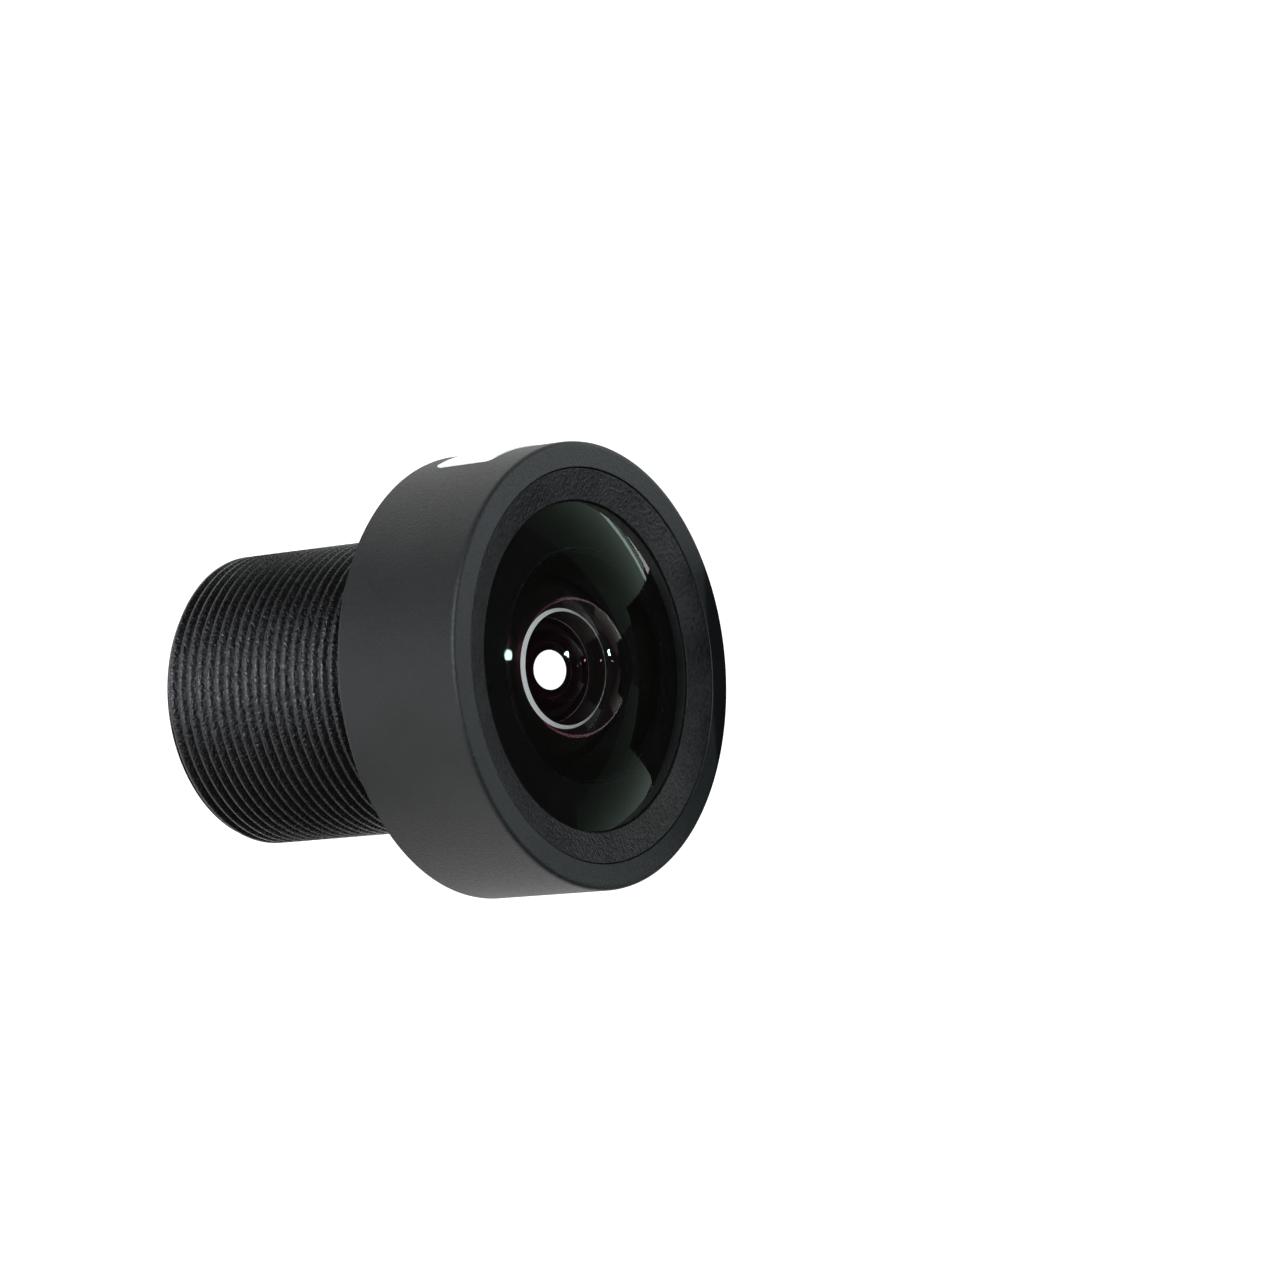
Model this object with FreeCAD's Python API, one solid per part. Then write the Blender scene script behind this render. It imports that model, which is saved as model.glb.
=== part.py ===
import FreeCAD, Part
import math
import os

# Wide-angle M12 board camera lens. Millimetres. The optical axis is +Z and points at the scene.
# The origin is the centre of the threaded tube's rear end, which the lens stands on.
# A surface's radius is positive where the surface bulges towards the front.

# Threaded tube and the chain of walls inside it, from the thread inwards
thread_dia = 12.0            # M12 x 0.5, over the crests
thread_len = 11.0            # rear end to the run-out groove
thread_chamfer = 0.25
relief_depth = 0.35          # run-out groove between the thread and the head
relief_len = 0.75
relief_undercut = 0.1        # groove's depth into the head's rear face
relief_margin = 0.1          # radial, from the crests out to the head's flat seat
tube_wall = 0.9              # beside the filter's recess
filter_ledge = 0.5           # seat that the filter is glued on
rear_step = 0.65             # from the rear ring's bore in to the last lens
filter_recess = 0.7          # filter seat, in from the rear end

# Head and the inner web that carries the stop
web_above_shoulder = 0.05    # web's front face above the head's rear face
web_thick = 0.5
web_ledge = 1.4              # radial, web's hole in from the third lens's edge
head_rear_chamfer = 0.1
head_front_chamfer = 0.15
rim_wall = 1.05              # flat outer rim, from the joint line out
rim_round = 0.08             # broken inner edge of the rim
rim_above_pocket = 1.219     # rim above the pocket that the front ring screws into

# Clearances
lens_gap = 0.03              # radial, glass and spacers in their bores
ring_gap = 0.03              # radial, retaining rings in their threads
glass_gap = 0.02             # front ring to the domed glass
filter_gap = 0.05            # radial, left for the adhesive round the filter
sink = 0.03                  # front ring's edge below the rim

# Front lens: meniscus that domes out of the rim
lens_1_front_radius = 12.5
lens_1_rear_radius = 5.0
lens_1_thick = 0.95
lens_1_hollow_depth = 2.287
lens_chamfer = 0.1

# Second lens: meniscus with a ground bevel round its hollow
lens_2_front_radius = 11.2
lens_2_rear_radius = 3.75
lens_2_thick = 1.06
lens_2_front_dia = 9.0
lens_2_flange = 0.8
lens_2_hollow_dia = 5.0
lens_2_bevel = 0.15

# Third lens, just in front of the stop
lens_3_front_radius = 5.4
lens_3_rear_radius = -28.0
lens_3_edge_thick = 0.583
lens_3_dia = 8.0
lens_3_front_flange = 1.5
lens_3_rear_flange = 1.6

# Cemented pair behind the stop
lens_4_front_radius = 20.0
lens_4_edge_thick = 0.41
cement_radius = -3.2
lens_4_dia = 4.9
lens_5_thick = 0.6
lens_5_rear_radius = -40.0
lens_5_rear_dia = 5.4

# Last lens
lens_6_front_radius = 25.0
lens_6_rear_radius = -5.0
lens_6_edge_thick = 0.535
lens_6_flange = 0.55

# Spacers, light baffles and the stop
spacer_1_len = 0.5
spacer_2_len = 1.222
spacer_2_wall = 1.0
spacer_3_len = 1.51
spacer_3_bore_gap = 0.1      # radial, spacer 3 round lens 4
spacer_4_len = 0.97
baffle_thick = 0.05
baffle_lip = 0.05            # baffle 1 stands in from spacer 2's bore
stop_dia = 2.1               # the hole that shows as the bright pupil
stop_leaf = 0.1
stop_edge = 0.03             # land left at the knife edge of the stop's hole
stop_rim = 0.45
stop_rim_wall = 1.4

# Rings and seal
seal_land = 1.9              # seat of the seal, from the second lens's edge out to the first's
seal_width = 0.9
seal_height = 0.8
seal_corner = 0.22
seal_inset = 0.4             # seal in from the front lens's edge
front_ring_skirt_gap = 0.06  # radial, skirt round the front lens
front_ring_wall = 0.6
front_ring_overlap = 0.58    # ring in over the front lens's edge
front_ring_lip = 0.05        # lip of the front ring above the glass
front_ring_foot = 0.06       # front ring's foot above the pocket floor
pocket_below_glass = 0.37    # pocket floor below the front lens's upper edge
rear_ring_len = 1.7
rear_ring_nose = 0.38
rear_ring_wall = 0.6
rear_ring_relief = 0.05      # radial, ring's front bore outside the last lens's clear face
rear_ring_slot_width = 0.9
rear_ring_slot_depth = 0.5
filter_thick = 0.3

# Blank label on the head's side
label_width = 2.85           # along the axis
label_length = 9.0           # round the head
label_thick = 0.04
label_below_rim = 1.85
label_start_angle = 203.0    # degrees about +Z from +X


def sag(radius, r):
    """Depth of a sphere's surface below its vertex at distance r from the axis."""
    return radius - math.copysign(math.sqrt(radius * radius - r * r), radius)


# Diameters, from the glass outwards
lens_1_hollow_dia = 2 * math.sqrt(lens_1_hollow_depth * (2 * lens_1_rear_radius - lens_1_hollow_depth))
lens_2_dia = lens_2_front_dia + 2 * lens_2_flange
lens_1_dia = lens_2_dia + 2 * seal_land
front_ring_opening = lens_1_dia - 2 * front_ring_overlap
front_ring_bore = lens_1_dia + 2 * front_ring_skirt_gap
front_ring_dia = front_ring_bore + 2 * front_ring_wall
ring_pocket_dia = front_ring_dia + 2 * ring_gap
head_dia = ring_pocket_dia + 2 * rim_wall
lens_3_front_dia = lens_3_dia - 2 * lens_3_front_flange
lens_3_rear_dia = lens_3_dia - 2 * lens_3_rear_flange
spacer_2_bore = lens_3_dia - 2 * spacer_2_wall
stop_rim_bore = lens_3_dia - 2 * stop_rim_wall
web_hole_dia = lens_3_dia - 2 * web_ledge

# Diameters, from the thread inwards
relief_dia = thread_dia - 2 * relief_depth
recess_dia = thread_dia - 2 * tube_wall
filter_dia = recess_dia - 2 * filter_gap
rear_bore_dia = recess_dia - 2 * filter_ledge
rear_ring_dia = rear_bore_dia - 2 * ring_gap
rear_lens_dia = rear_bore_dia - 2 * rear_step
lens_6_clear_dia = rear_lens_dia - 2 * lens_6_flange
rear_ring_front_bore = lens_6_clear_dia + 2 * rear_ring_relief
rear_ring_rear_bore = rear_bore_dia - 2 * rear_ring_wall

# Stack in front of the web, each seat worked out from the one before
shoulder_z = thread_len + relief_len
web_front_z = shoulder_z + web_above_shoulder
lens_3_rear_edge = web_front_z + stop_rim
lens_3_rear_z = lens_3_rear_edge + sag(lens_3_rear_radius, lens_3_rear_dia / 2)
lens_3_front_edge = lens_3_rear_edge + lens_3_edge_thick
lens_3_front_z = lens_3_front_edge + sag(lens_3_front_radius, lens_3_front_dia / 2)
lens_2_ledge = lens_3_front_edge + spacer_2_len
lens_2_rear_edge = lens_2_ledge + baffle_thick
lens_2_rear_z = lens_2_rear_edge + lens_2_bevel + sag(lens_2_rear_radius, lens_2_hollow_dia / 2)
lens_2_front_z = lens_2_rear_z + lens_2_thick
lens_2_front_edge = lens_2_front_z - sag(lens_2_front_radius, lens_2_front_dia / 2)
lens_1_rear_edge = lens_2_front_edge + spacer_1_len
lens_1_rear_z = lens_1_rear_edge + lens_1_hollow_depth
lens_1_front_z = lens_1_rear_z + lens_1_thick
lens_1_top_edge = lens_1_front_z - sag(lens_1_front_radius, lens_1_dia / 2 - lens_chamfer) - lens_chamfer
seal_floor = lens_1_rear_edge - seal_height
pocket_floor = lens_1_top_edge - pocket_below_glass
rim_z = pocket_floor + rim_above_pocket

# Stack behind the web
web_rear_z = web_front_z - web_thick
lens_5_front_edge = web_rear_z - spacer_3_len
cement_z = lens_5_front_edge + sag(cement_radius, lens_4_dia / 2)
lens_4_front_z = lens_5_front_edge + lens_4_edge_thick + sag(lens_4_front_radius, lens_4_dia / 2)
lens_5_rear_z = cement_z - lens_5_thick
lens_5_rear_edge = lens_5_rear_z - sag(lens_5_rear_radius, lens_5_rear_dia / 2)
baffle_2_front = lens_5_rear_edge - spacer_4_len
lens_6_front_edge = baffle_2_front - baffle_thick
lens_6_front_z = lens_6_front_edge + sag(lens_6_front_radius, lens_6_clear_dia / 2)
lens_6_rear_edge = lens_6_front_edge - lens_6_edge_thick
lens_6_rear_z = lens_6_rear_edge + sag(lens_6_rear_radius, lens_6_clear_dia / 2)
rear_step_z = lens_6_rear_edge - rear_ring_nose


def point(r, z):
    return FreeCAD.Vector(r, 0, z)


def line(a, b):
    return Part.LineSegment(point(*a), point(*b)).toShape()


def dome(radius, vertex_z, r_from, r_to):
    """Edge along a spherical surface between two distances from the axis."""
    r_mid = (r_from + r_to) / 2
    places = [point(r, vertex_z - sag(radius, r)) for r in (r_from, r_mid, r_to)]
    return Part.Arc(*places).toShape()


def turned(edges):
    """Solid of revolution about the optical axis from a closed half-section."""
    face = Part.Face(Part.Wire(Part.sortEdges(edges)[0]))
    solid = face.revolve(FreeCAD.Vector(0, 0, 0), FreeCAD.Vector(0, 0, 1), 360)
    return solid if solid.Volume > 0 else solid.reversed()


def outline(corners):
    return [line(corners[i], corners[(i + 1) % len(corners)]) for i in range(len(corners))]


def barrel():
    thread_r, relief_r, head_r = thread_dia / 2, relief_dia / 2, head_dia / 2
    ring_r = ring_pocket_dia / 2
    outside = [
        (thread_r - thread_chamfer, 0),
        (thread_r, thread_chamfer),
        (thread_r, thread_len),
        (relief_r, thread_len),
        (relief_r, shoulder_z + relief_undercut),
        (thread_r + relief_margin, shoulder_z + relief_undercut),
        (thread_r + relief_margin, shoulder_z),
        (head_r - head_rear_chamfer, shoulder_z),
        (head_r, shoulder_z + head_rear_chamfer),
        (head_r, rim_z - head_front_chamfer),
        (head_r - head_front_chamfer, rim_z),
        (ring_r + rim_round, rim_z),
        (ring_r, rim_z - rim_round),
    ]
    inside = [
        (ring_r, pocket_floor),
        (lens_1_dia / 2 + lens_gap, pocket_floor),
        (lens_1_dia / 2 + lens_gap, seal_floor),
        (lens_2_dia / 2 + lens_gap, seal_floor),
        (lens_2_dia / 2 + lens_gap, lens_2_ledge),
        (lens_3_dia / 2 + lens_gap, lens_2_ledge),
        (lens_3_dia / 2 + lens_gap, web_front_z),
        (web_hole_dia / 2, web_front_z),
        (web_hole_dia / 2, web_rear_z),
        (rear_lens_dia / 2 + lens_gap, web_rear_z),
        (rear_lens_dia / 2 + lens_gap, rear_step_z),
        (rear_bore_dia / 2, rear_step_z),
        (rear_bore_dia / 2, filter_recess),
        (recess_dia / 2, filter_recess),
        (recess_dia / 2, 0),
    ]
    return turned(outline(outside + inside))


def lens_1():
    r, hollow = lens_1_dia / 2, lens_1_hollow_dia / 2
    top_r = r - lens_chamfer
    return turned([
        dome(lens_1_front_radius, lens_1_front_z, 0, top_r),
        line((top_r, lens_1_top_edge + lens_chamfer), (r, lens_1_top_edge)),
        line((r, lens_1_top_edge), (r, lens_1_rear_edge + lens_chamfer)),
        line((r, lens_1_rear_edge + lens_chamfer), (top_r, lens_1_rear_edge)),
        line((top_r, lens_1_rear_edge), (hollow, lens_1_rear_edge)),
        dome(lens_1_rear_radius, lens_1_rear_z, hollow, 0),
        line((0, lens_1_rear_z), (0, lens_1_front_z)),
    ])


def lens_2():
    r, front, hollow = lens_2_dia / 2, lens_2_front_dia / 2, lens_2_hollow_dia / 2
    flat = lens_2_rear_edge
    return turned([
        dome(lens_2_front_radius, lens_2_front_z, 0, front),
        line((front, lens_2_front_edge), (r, lens_2_front_edge)),
        line((r, lens_2_front_edge), (r, flat)),
        line((r, flat), (hollow + lens_2_bevel, flat)),
        line((hollow + lens_2_bevel, flat), (hollow, flat + lens_2_bevel)),
        dome(lens_2_rear_radius, lens_2_rear_z, hollow, 0),
        line((0, lens_2_rear_z), (0, lens_2_front_z)),
    ])


def flanged_lens(front_radius, front_z, front_r, rear_radius, rear_z, rear_r, edge_r):
    """Lens with two spherical faces and a flat seat round each."""
    front_edge = front_z - sag(front_radius, front_r)
    rear_edge = rear_z - sag(rear_radius, rear_r)
    edges = [
        dome(front_radius, front_z, 0, front_r),
        line((edge_r, front_edge), (edge_r, rear_edge)),
        dome(rear_radius, rear_z, rear_r, 0),
        line((0, rear_z), (0, front_z)),
    ]
    if edge_r > front_r:
        edges.append(line((front_r, front_edge), (edge_r, front_edge)))
    if edge_r > rear_r:
        edges.append(line((edge_r, rear_edge), (rear_r, rear_edge)))
    return turned(edges)


def lens_3():
    return flanged_lens(lens_3_front_radius, lens_3_front_z, lens_3_front_dia / 2,
                        lens_3_rear_radius, lens_3_rear_z, lens_3_rear_dia / 2, lens_3_dia / 2)


def lens_4():
    r = lens_4_dia / 2
    return flanged_lens(lens_4_front_radius, lens_4_front_z, r, cement_radius, cement_z, r, r)


def lens_5():
    return flanged_lens(cement_radius, cement_z, lens_4_dia / 2,
                        lens_5_rear_radius, lens_5_rear_z, lens_5_rear_dia / 2, rear_lens_dia / 2)


def lens_6():
    clear = lens_6_clear_dia / 2
    return flanged_lens(lens_6_front_radius, lens_6_front_z, clear,
                        lens_6_rear_radius, lens_6_rear_z, clear, rear_lens_dia / 2)


def washer(outer_dia, bore_dia, rear_z, front_z, front_bore_dia=None):
    """Turned ring with a plain bore, or a tapered one where the front bore differs."""
    front_r = (front_bore_dia or bore_dia) / 2
    return turned(outline([(bore_dia / 2, rear_z), (outer_dia / 2, rear_z),
                           (outer_dia / 2, front_z), (front_r, front_z)]))


def spacer_1():
    return washer(lens_2_dia, lens_2_front_dia, lens_2_front_edge, lens_1_rear_edge)


def spacer_2():
    return washer(lens_3_dia, spacer_2_bore, lens_3_front_edge, lens_2_ledge)


def spacer_3():
    bore = lens_4_dia + 2 * spacer_3_bore_gap
    return washer(rear_lens_dia, bore, lens_5_front_edge, web_rear_z)


def spacer_4():
    return washer(rear_lens_dia, lens_6_clear_dia, baffle_2_front, lens_5_rear_edge, lens_5_rear_dia)


def light_baffle_1():
    return washer(lens_2_dia, spacer_2_bore - 2 * baffle_lip, lens_2_ledge, lens_2_rear_edge)


def light_baffle_2():
    return washer(rear_lens_dia, lens_6_clear_dia, lens_6_front_edge, baffle_2_front)


def aperture_stop():
    """Cup that lens 3 stands on; its floor thins to a knife edge at the hole."""
    hole, rim, edge_r = stop_dia / 2, stop_rim_bore / 2, lens_3_dia / 2
    z = web_front_z
    slope = stop_leaf - stop_edge
    return turned(outline([
        (hole + slope, z), (edge_r, z), (edge_r, z + stop_rim), (rim, z + stop_rim),
        (rim, z + stop_leaf), (hole, z + stop_leaf), (hole, z + slope),
    ]))


def front_retaining_ring():
    outer, wall, opening = front_ring_dia / 2, front_ring_bore / 2, front_ring_opening / 2
    glass_z = lens_1_front_z + glass_gap
    foot = pocket_floor + front_ring_foot
    lip_z = glass_z - sag(lens_1_front_radius, opening)
    return turned([
        line((outer, foot), (outer, rim_z - sink)),
        line((outer, rim_z - sink), (opening, lip_z + front_ring_lip)),
        line((opening, lip_z + front_ring_lip), (opening, lip_z)),
        dome(lens_1_front_radius, glass_z, opening, wall),
        line((wall, glass_z - sag(lens_1_front_radius, wall)), (wall, foot)),
        line((wall, foot), (outer, foot)),
    ])


def front_o_ring():
    """Seal as squeezed in its seat: flat where it bears, with broken corners."""
    outer = lens_1_dia / 2 - seal_inset
    inner = outer - seal_width
    floor, top = seal_floor, lens_1_rear_edge
    return turned(outline([
        (inner + seal_corner, floor), (outer - seal_corner, floor), (outer, floor + seal_corner),
        (outer, top - seal_corner), (outer - seal_corner, top), (inner + seal_corner, top),
        (inner, top - seal_corner), (inner, floor + seal_corner),
    ]))


def rear_retaining_ring():
    """Nosed ring behind the last lens, with two slots for a spanner."""
    nose_r = rear_lens_dia / 2
    body_r = rear_ring_dia / 2
    rear_z = lens_6_rear_edge - rear_ring_len
    ring = turned(outline([
        (rear_ring_rear_bore / 2, rear_z), (body_r, rear_z), (body_r, rear_step_z),
        (nose_r, rear_step_z), (nose_r, lens_6_rear_edge), (rear_ring_front_bore / 2, lens_6_rear_edge),
    ]))
    slot = Part.makeBox(rear_bore_dia, rear_ring_slot_width, rear_ring_slot_depth,
                        FreeCAD.Vector(-rear_bore_dia / 2, -rear_ring_slot_width / 2, rear_z))
    return ring.cut(slot)


def ir_cut_filter():
    return Part.makeCylinder(filter_dia / 2, filter_thick,
                             FreeCAD.Vector(0, 0, filter_recess - filter_thick))


def label():
    """Film wrapped round part of the head's side."""
    r = head_dia / 2
    z = rim_z - label_below_rim - label_width
    angle = math.degrees(label_length / r)
    section = Part.Face(Part.Wire(outline([(r, z), (r + label_thick, z),
                                           (r + label_thick, z + label_width), (r, z + label_width)])))
    axis = FreeCAD.Vector(0, 0, 1)
    film = section.revolve(FreeCAD.Vector(0, 0, 0), axis, angle)
    film.rotate(FreeCAD.Vector(0, 0, 0), axis, label_start_angle - angle)
    return film if film.Volume > 0 else film.reversed()


pieces = [
    barrel, front_retaining_ring, front_o_ring, lens_1, spacer_1, lens_2, light_baffle_1, spacer_2,
    lens_3, aperture_stop, spacer_3, lens_4, lens_5, spacer_4, light_baffle_2, lens_6,
    rear_retaining_ring, ir_cut_filter, label,
]

os.makedirs("parts", exist_ok=True)
for piece in pieces:
    shape = piece()
    if not shape.isValid() or len(shape.Solids) != 1:
        raise ValueError(piece.__name__ + " is not one valid solid")
    shape.exportStep("parts/" + piece.__name__ + ".step")
    box = shape.BoundBox
    print(f"{piece.__name__:22s} r {box.XMax:6.3f}  z {box.ZMin:6.3f} to {box.ZMax:6.3f}")
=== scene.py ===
import math

import bmesh
import bpy
from mathutils import Matrix, Vector


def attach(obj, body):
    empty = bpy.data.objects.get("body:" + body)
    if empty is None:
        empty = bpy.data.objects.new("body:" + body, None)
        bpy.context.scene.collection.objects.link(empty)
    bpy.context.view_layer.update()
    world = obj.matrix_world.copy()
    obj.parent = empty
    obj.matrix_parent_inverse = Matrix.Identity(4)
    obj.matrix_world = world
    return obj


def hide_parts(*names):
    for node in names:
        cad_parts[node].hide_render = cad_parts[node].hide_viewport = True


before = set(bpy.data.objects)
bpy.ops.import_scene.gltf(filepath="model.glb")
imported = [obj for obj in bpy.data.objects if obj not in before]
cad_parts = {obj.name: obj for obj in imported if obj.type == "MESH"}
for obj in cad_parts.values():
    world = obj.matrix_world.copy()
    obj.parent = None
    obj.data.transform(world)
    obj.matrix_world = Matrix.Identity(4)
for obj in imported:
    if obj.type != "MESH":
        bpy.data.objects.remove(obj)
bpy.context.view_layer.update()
print("frame loaded,", len(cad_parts), "nodes")

mm = 0.001           # sizes below are in millimetres; the optical axis is +Z, the rear end stands at z = 0
samePoint = 1e-6     # points of a section that are nearer than this are one
weldDistance = 1e-5  # vertices nearer than this are joined


def linearColour(hexCode):
    # sRGB hex code to the linear colour and alpha that a shader takes
    channels = [int(hexCode[i:i + 2], 16) / 255 for i in (1, 3, 5)]
    return [c / 12.92 if c <= 0.04045 else ((c + 0.055) / 1.055) ** 2.4 for c in channels] + [1.0]


def perMm(size):
    return 1 / (size * mm)  # texture scale whose pattern repeats about every size millimetres


def addNode(tree, kind, inputs=None, **settings):
    # an input is a number, a colour or the socket that feeds it
    node = tree.nodes.new(kind)
    for name, value in settings.items():
        setattr(node, name, value)
    for key, value in (inputs or {}).items():
        if isinstance(value, bpy.types.NodeSocket):
            tree.links.new(value, node.inputs[key])
        else:
            node.inputs[key].default_value = value
    return node


def emptyMaterial(name):
    material = bpy.data.materials.new(name)
    material.use_nodes = True
    material.node_tree.nodes.clear()
    return material, material.node_tree


def sag(radius, r):
    return radius - math.copysign(math.sqrt(radius * radius - r * r), radius)


def dome(radius, vertexZ, rFrom, rTo, steps):
    rings = [rFrom + (rTo - rFrom) * i / steps for i in range(steps + 1)]
    return [(r, vertexZ - sag(radius, r)) for r in rings]


def eased(before, corner, after, size, steps=3):
    # a broken edge: the corner is cut back by size along both sides and bent round;
    # one more point on each side, a little further out, keeps the flats beside it flat in the shading
    furtherOut, mostOfSide = 1.35, 0.49

    def towards(target, reach):
        share = min(reach / math.dist(corner, target), mostOfSide)
        return tuple(corner[i] + (target[i] - corner[i]) * share for i in (0, 1))

    a, b = towards(before, size), towards(after, size)
    points = [towards(before, size * furtherOut)]
    for i in range(steps + 1):
        t = i / steps
        points.append(tuple((1 - t) ** 2 * a[k] + 2 * t * (1 - t) * corner[k] + t * t * b[k] for k in (0, 1)))
    return points + [towards(after, size * furtherOut)]


def easedLoop(corners, easings):
    # closed section with the corners numbered in easings bent round by that many millimetres
    points = []
    for i, corner in enumerate(corners):
        if i in easings:
            points += eased(corners[i - 1], corner, corners[(i + 1) % len(corners)], easings[i])
        else:
            points.append(corner)
    return points + [points[0]]


def ringOfVerts(bm, r, z, angles):
    return [bm.verts.new((r * math.cos(a), r * math.sin(a), z)) for a in angles]


def finishMesh(name, bm, finishes, node, sharpAngle=28):
    # edges that bend by more than sharpAngle degrees stay crisp
    bmesh.ops.remove_doubles(bm, verts=bm.verts, dist=weldDistance)
    bmesh.ops.recalc_face_normals(bm, faces=bm.faces)
    bmesh.ops.scale(bm, vec=(mm, mm, mm), verts=bm.verts)
    mesh = bpy.data.meshes.new(name)
    bm.to_mesh(mesh)
    bm.free()
    mesh.shade_smooth()
    mesh.set_sharp_from_angle(angle=math.radians(sharpAngle))
    for material in finishes:
        mesh.materials.append(material)
    piece = bpy.data.objects.new(name, mesh)
    bpy.context.scene.collection.objects.link(piece)
    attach(piece, "root")
    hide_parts(node)
    return piece


def turnedPiece(name, node, runs, finishes, segments=192):
    # runs is the half section as (finish number, points), from the axis to the axis or right round
    corners, segmentFinish = [], []
    for finish, points in runs:
        for point in points:
            if corners and math.dist(point, corners[-1]) < samePoint:
                continue
            if corners:
                segmentFinish.append(finish)
            corners.append(point)
    if math.dist(corners[0], corners[-1]) < samePoint:
        corners.pop()
    elif corners[0][0] > samePoint:
        segmentFinish.append(runs[-1][0])
    bm = bmesh.new()
    turn = [2 * math.pi * i / segments for i in range(segments)]
    rings = []
    for r, z in corners:
        if r < samePoint:
            rings.append([bm.verts.new((0, 0, z))] * segments)
        else:
            rings.append(ringOfVerts(bm, r, z, turn))
    for k, finish in enumerate(segmentFinish):
        low, high = rings[k], rings[(k + 1) % len(rings)]
        for i in range(segments):
            j = (i + 1) % segments
            loop = []
            for vert in (low[i], low[j], high[j], high[i]):
                if vert not in loop:
                    loop.append(vert)
            if len(loop) > 2:
                bm.faces.new(loop).material_index = finish
    return finishMesh(name, bm, finishes, node)


# finishes; grain, depth and cloud are in millimetres
anodisedLook = {
    # dyed oxide over blasted aluminium: nearly black, what shows is its soft gloss;
    # bead marks are 0.05 mm for real, drawn coarser so that they show
    "head": {"dark": "#0a0b0c", "pale": "#151617", "grain": 0.11, "depth": 0.045,
             "roughness": 0.52, "specular": 0.42},
    "ring": {"dark": "#0b0c0d", "pale": "#2a2c2e", "grain": 0.16, "depth": 0.140,
             "roughness": 0.40, "specular": 0.34},
    "inside": {"dark": "#0b0b0c", "pale": "#121213", "grain": 0.11, "depth": 0.045,
               "roughness": 0.6, "specular": 0.2},
    "cloud": 2.5,                         # slow change of shade over a few millimetres
    "shadeFrom": 0.12, "shadeTo": 0.42,   # the part of the pattern that runs from dark to pale
    "smoother": 0.05, "rougher": 0.07,    # how far a bead mark leaves the roughness
    "strength": 0.55,
}
threadLook = {
    # pits in the oxide are a few hundredths of a millimetre for real, drawn coarser so that they show
    "colour": "#070708", "grain": 0.13, "depth": 0.055, "strength": 0.9,
    "roughness": 0.33, "smoother": 0.20, "rougher": 0.12, "specular": 0.46,
}


def blastedAnodised(name, look):
    # bead-blasted black anodised aluminium: even matte grain, no clear reflections, paler at a glance;
    # the dyed oxide hides the metal, so it is shaded as a coat and not as bare metal
    shared = anodisedLook
    material, tree = emptyMaterial(name)
    place = addNode(tree, "ShaderNodeTexCoord")
    beads = addNode(tree, "ShaderNodeTexNoise",
                    {"Vector": place.outputs["Object"], "Scale": perMm(look["grain"]), "Detail": 3.0,
                     "Roughness": 0.6})
    cloud = addNode(tree, "ShaderNodeTexNoise",
                    {"Vector": place.outputs["Object"], "Scale": perMm(shared["cloud"]), "Detail": 2.0})
    blend = addNode(tree, "ShaderNodeMath", {0: beads.outputs["Fac"], 1: cloud.outputs["Fac"]},
                    operation="MULTIPLY")
    shade = addNode(tree, "ShaderNodeMapRange",
                    {"Value": blend.outputs[0], "From Min": shared["shadeFrom"],
                     "From Max": shared["shadeTo"]})
    colour = addNode(tree, "ShaderNodeMix",
                     {0: shade.outputs[0], 6: linearColour(look["dark"]), 7: linearColour(look["pale"])},
                     data_type="RGBA")
    rough = addNode(tree, "ShaderNodeMapRange",
                    {"Value": beads.outputs["Fac"], "From Min": 0.3, "From Max": 0.7,
                     "To Min": look["roughness"] - shared["smoother"],
                     "To Max": look["roughness"] + shared["rougher"]})
    bump = addNode(tree, "ShaderNodeBump",
                   {"Height": beads.outputs["Fac"], "Strength": shared["strength"],
                    "Distance": look["depth"] * mm})
    surface = addNode(tree, "ShaderNodeBsdfPrincipled",
                      {"Base Color": colour.outputs[2], "Roughness": rough.outputs[0],
                       "Specular IOR Level": look["specular"], "Normal": bump.outputs[0]})
    addNode(tree, "ShaderNodeOutputMaterial", {"Surface": surface.outputs[0]})
    return material


def machinedAnodised(name, look):
    # thread cut before anodising: fine pits in the oxide break its highlights up into glints
    material, tree = emptyMaterial(name)
    place = addNode(tree, "ShaderNodeTexCoord")
    pits = addNode(tree, "ShaderNodeTexNoise",
                   {"Vector": place.outputs["Object"], "Scale": perMm(look["grain"]), "Detail": 3.0,
                    "Roughness": 0.6})
    rough = addNode(tree, "ShaderNodeMapRange",
                    {"Value": pits.outputs["Fac"], "From Min": 0.3, "From Max": 0.7,
                     "To Min": look["roughness"] - look["smoother"],
                     "To Max": look["roughness"] + look["rougher"]})
    bump = addNode(tree, "ShaderNodeBump",
                   {"Height": pits.outputs["Fac"], "Strength": look["strength"],
                    "Distance": look["depth"] * mm})
    surface = addNode(tree, "ShaderNodeBsdfPrincipled",
                      {"Base Color": linearColour(look["colour"]), "Roughness": rough.outputs[0],
                       "Specular IOR Level": look["specular"], "Normal": bump.outputs[0]})
    addNode(tree, "ShaderNodeOutputMaterial", {"Surface": surface.outputs[0]})
    return material


headFinish = blastedAnodised("beadBlastedBlackAnodised", anodisedLook["head"])
ringFinish = blastedAnodised("coarseBlastedBlackAnodised", anodisedLook["ring"])
innerFinish = blastedAnodised("innerBlackAnodised", anodisedLook["inside"])
threadFinish = machinedAnodised("machinedBlackAnodised", threadLook)

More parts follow.
